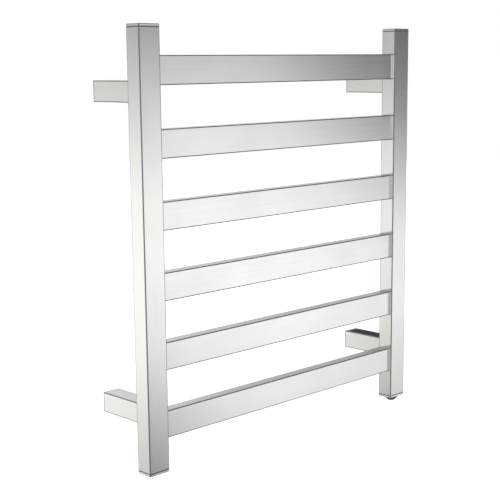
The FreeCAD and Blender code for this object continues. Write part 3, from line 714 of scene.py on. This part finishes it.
@dataclass
class Arms:
    """The four arms back to the wall, with their wall cups, fasteners, lid and cable bush."""

    fasteners: tuple[str, ...] = ("arm_nut_plates", "arm_bolts", "arm_grub_screws")
    lid: str = "duct_lid"
    bush: str = "supply_grommet"

    def dress(self) -> str:
        """Give the arms and what goes with them their finishes.

        Returns:
            What was dressed.
        """
        ends = [f"{level}_{side}" for level in ("upper", "lower") for side in ("left", "right")]
        ARM_STEEL.on(*(f"arm_{end}" for end in ends))
        PRESSED_STEEL.on(*(f"wall_spigot_{end}" for end in ends))
        ZINC.on(*self.fasteners)
        LID_PLASTIC.on(self.lid)
        BLACK_RUBBER.on(self.bush)
        return f"{len(ends)}, with wall cups, lid and bush"


@dataclass
class Heating:
    """The heating cable with its sealed end and the sleeve where its leads begin."""

    cable: str = "heating_cable"
    sleeves: tuple[str, ...] = ("cable_end_seal", "cold_joint")

    def dress(self) -> str:
        """Give the cable its silicone and the sleeves their rubber.

        Returns:
            What was dressed.
        """
        SILICONE.on(self.cable)
        BLACK_RUBBER.on(*self.sleeves)
        return f"cable and {len(self.sleeves)} sleeves"


@dataclass
class Wiring:
    """The electrical parts in the foot of the right post."""

    plastic: tuple[str, ...] = ("terminal_block", "thermal_limiter")
    brass: tuple[str, ...] = ("terminal_screws", "earth_stud", "earth_tag", "earth_nut")
    leads: str = "internal_leads"

    def dress(self) -> str:
        """Give the electrical parts their finishes.

        Returns:
            What was dressed.
        """
        PALE_PLASTIC.on(*self.plastic)
        BRASS.on(*self.brass)
        SLEEVE.on(self.leads)
        return f"{len(self.plastic) + len(self.brass)} parts and the leads"


@dataclass
class PushSwitch:
    """The round push-button switch under the right post."""

    black: tuple[str, ...] = ("switch_housing", "switch_nut", "push_button")
    plastic: tuple[str, ...] = ("spring_seat", "switch_insulator")
    brass: tuple[str, ...] = ("switch_blades", "contact_bridge")
    gasket: str = "switch_gasket"
    spring: str = "switch_spring"
    joint: str = "button_press"

    def dress(self) -> str:
        """Give the switch its finishes and put a copy of its spring in place.

        Returns:
            What was dressed and built.
        """
        SWITCH_PLASTIC.on(*self.black)
        PALE_PLASTIC.on(*self.plastic)
        BRASS.on(*self.brass)
        BLACK_RUBBER.on(self.gasket)
        coil = self.coil()
        return f"{len(self.black)} black parts, its insides and {coil.name}"

    def coil(self) -> bpy.types.Object:
        """Put a copy of the spring in place of the CAD one, which is hidden.

        Returns:
            The spring.
        """
        coil = bpy.data.objects.new("return_spring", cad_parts[self.spring].data.copy())
        bpy.context.scene.collection.objects.link(coil)
        ZINC.on_piece(coil)
        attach(coil, "rack")
        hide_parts(self.spring)
        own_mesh(coil)
        return coil


@dataclass(frozen=True)
class Glow:
    """A soft-edged part of the studio's surroundings, lighter or darker than the rest."""

    bearing: float      # degrees from the front of the rack towards its right
    height: float       # degrees above the horizon
    core: float         # degrees from its middle that are fully lit
    reach: float        # degrees from its middle to where it ends
    light: Colour

    @property
    def direction(self) -> Vector:
        """Give the way to the glow.

        Returns:
            The unit vector towards its middle.
        """
        around = math.radians(self.bearing)
        above = math.radians(self.height)
        level = math.cos(above)
        return Vector((math.sin(around) * level, -math.cos(around) * level, math.sin(above)))


@dataclass
class Studio:
    """A white room with a pale floor far below the rack, as below a wall."""

    floor_drop: float = 2.4
    floor_radius: float = 30.0
    floor_sides: int = 96
    floor_tone: Colour = (0.92, 0.92, 0.92)
    floor_roughness: float = 0.9
    floor_light: float = 0.5
    ground: Colour = (0.50, 0.50, 0.50)
    ground_rise: float = -0.6           # upward part of the gaze where the room is ground-coloured
    ceiling: Colour = (0.95, 0.95, 0.96)
    ceiling_rise: float = 0.9           # and where it is ceiling-coloured
    backdrop: Colour = (1.0, 1.0, 1.0)
    key_power: float = 18.0
    key_size: float = 1.6
    key_place: Vector = Vector((-1.6, -2.2, 2.4))
    mirrored_in_fronts: tuple[Glow, ...] = (
        Glow(45, -9.5, 7, 22, (1.42, 1.39, 1.38)),
        Glow(64, 12, 19.5, 23, (0.005, 0.005, 0.008)),
        Glow(32, 14, 10, 22, (0.30, 0.29, 0.28)),
        Glow(27, -31, 13, 22, (0.06, 0.065, 0.065)),
        Glow(62, -25, 8, 18, (0.45, 0.45, 0.46)),
    )
    mirrored_in_sides: tuple[Glow, ...] = (
        Glow(-139, -9.5, 6, 20, (1.38, 1.36, 1.30)),
        Glow(-137, 14, 10, 22, (0.36, 0.36, 0.35)),
        Glow(-136, -30, 8, 17, (0.66, 0.67, 0.65)),
        Glow(-120, -24, 8, 15, (0.15, 0.16, 0.14)),
    )
    mirrored_in_tops: tuple[Glow, ...] = (
        Glow(136, 12, 8, 26, (0.76, 0.76, 0.76)),
        Glow(126, 22, 6, 16, (0.38, 0.38, 0.39)),
    )
    mirrored_twice_at_bar_ends: tuple[Glow, ...] = (
        Glow(-46, 4, 8, 20, (1.05, 1.05, 1.05)),
        Glow(-46, -24, 8, 18, (0.80, 0.80, 0.80)),
    )

    @property
    def glows(self) -> tuple[Glow, ...]:
        """Give every glow, each group in the order that it is painted in."""
        return (self.mirrored_in_fronts + self.mirrored_in_sides + self.mirrored_in_tops
                + self.mirrored_twice_at_bar_ends)

    def build(self) -> str:
        """Make the surroundings, the floor and the key light.

        Returns:
            What was built.
        """
        self.surroundings()
        self.floor()
        self.key()
        bpy.context.scene.view_settings.view_transform = "Standard"
        return f"{len(self.glows)} glows, floor and key light"

    def surroundings(self) -> None:
        """Paint the room round the rack, and white behind it for the camera."""
        world = bpy.data.worlds.new("studio")
        world.use_nodes = True
        bpy.context.scene.world = world
        graph = Graph(world.node_tree)
        gaze = graph.add("ShaderNodeTexCoord").outputs["Generated"]
        upward = graph.apart(gaze)[Grain.UPRIGHT.value]
        rise = graph.spread(upward, self.ground_rise, self.ceiling_rise, 0.0, 1.0)
        colour = graph.blend(rise, self.ground, self.ceiling)
        for glow in self.glows:
            facing = graph.add("ShaderNodeVectorMath", operation="DOT_PRODUCT")
            graph.feed(facing.inputs[0], gaze)
            graph.feed(facing.inputs[1], glow.direction)
            share = graph.spread(facing.outputs["Value"], math.cos(math.radians(glow.reach)),
                                 math.cos(math.radians(glow.core)), 0.0, 1.0)
            colour = graph.blend(share, colour, glow.light)
        seen = graph.add("ShaderNodeLightPath").outputs["Is Camera Ray"]
        light = graph.add("ShaderNodeBackground")
        graph.feed(light.inputs["Color"], graph.blend(seen, colour, self.backdrop))
        out = graph.add("ShaderNodeOutputWorld")
        graph.feed(out.inputs["Surface"], light.outputs[0])

    def floor(self) -> None:
        """Lay a round pale floor that glows a little."""
        mesh = bpy.data.meshes.new("floor")
        shape = bmesh.new()
        bmesh.ops.create_circle(shape, cap_ends=True, segments=self.floor_sides,
                                radius=self.floor_radius,
                                matrix=Matrix.Translation((0, 0, -self.floor_drop)))
        shape.to_mesh(mesh)
        shape.free()
        floor = bpy.data.objects.new("floor", mesh)
        bpy.context.scene.collection.objects.link(floor)
        paint = bpy.data.materials.new("floor")
        paint.use_nodes = True
        graph = Graph(paint.node_tree)
        shader = graph.add("ShaderNodeBsdfPrincipled")
        graph.feed(shader.inputs["Base Color"], self.floor_tone)
        graph.feed(shader.inputs["Roughness"], self.floor_roughness)
        graph.feed(shader.inputs["Emission Color"], self.backdrop)
        graph.feed(shader.inputs["Emission Strength"], self.floor_light)
        graph.feed(graph.add("ShaderNodeOutputMaterial").inputs["Surface"], shader.outputs["BSDF"])
        mesh.materials.append(paint)
        floor.visible_glossy = False

    def key(self) -> None:
        """Hang one broad soft light above and in front of the rack."""
        lamp = bpy.data.lights.new("key", "AREA")
        lamp.energy = self.key_power
        lamp.size = self.key_size
        holder = bpy.data.objects.new("key", lamp)
        holder.location = self.key_place
        holder.rotation_euler = (-self.key_place).to_track_quat("-Z", "Y").to_euler()
        holder.visible_glossy = False
        bpy.context.scene.collection.objects.link(holder)


@dataclass
class Viewpoint:
    """The camera, in front of the rack, to its left and a little above its middle."""

    place: Vector = Vector((-1.40792, -1.4626, 0.29247))
    yaw: float = math.radians(44.33)
    pitch: float = math.radians(10.24)
    roll: float = math.radians(-0.56)
    lens: float = 82.68
    raised: float = 0.04

    def build(self) -> str:
        """Make the camera and give it to the scene.

        Returns:
            What was built.
        """
        ahead = Vector((math.sin(self.yaw) * math.cos(self.pitch),
                        math.cos(self.yaw) * math.cos(self.pitch), -math.sin(self.pitch)))
        right = Vector((math.cos(self.yaw), -math.sin(self.yaw), 0))
        up = right.cross(ahead)
        across = right * math.cos(self.roll) + up * math.sin(self.roll)
        upward = up * math.cos(self.roll) - right * math.sin(self.roll)
        turned = Matrix((across, upward, -ahead)).transposed().to_4x4()
        camera = bpy.data.objects.new("camera", bpy.data.cameras.new("camera"))
        camera.data.lens = self.lens
        camera.data.shift_y = self.raised
        camera.matrix_world = Matrix.Translation(self.place) @ turned
        bpy.context.scene.collection.objects.link(camera)
        bpy.context.scene.camera = camera
        return f"camera with a {self.lens:.1f} mm lens"


def main() -> None:
    """Dress the rack, then build the studio and the camera round it."""
    logging.basicConfig(level=logging.INFO, format="%(name)s: %(message)s")
    for part in (Posts(), Caps(), Bars(), Arms(), Heating(), Wiring(), PushSwitch()):
        log.info("%s: %s", type(part).__name__, part.dress())
    for setting in (Studio(), Viewpoint()):
        log.info("%s: %s", type(setting).__name__, setting.build())


if __name__ == "__main__":
    main()
    bpy.context.view_layer.update()
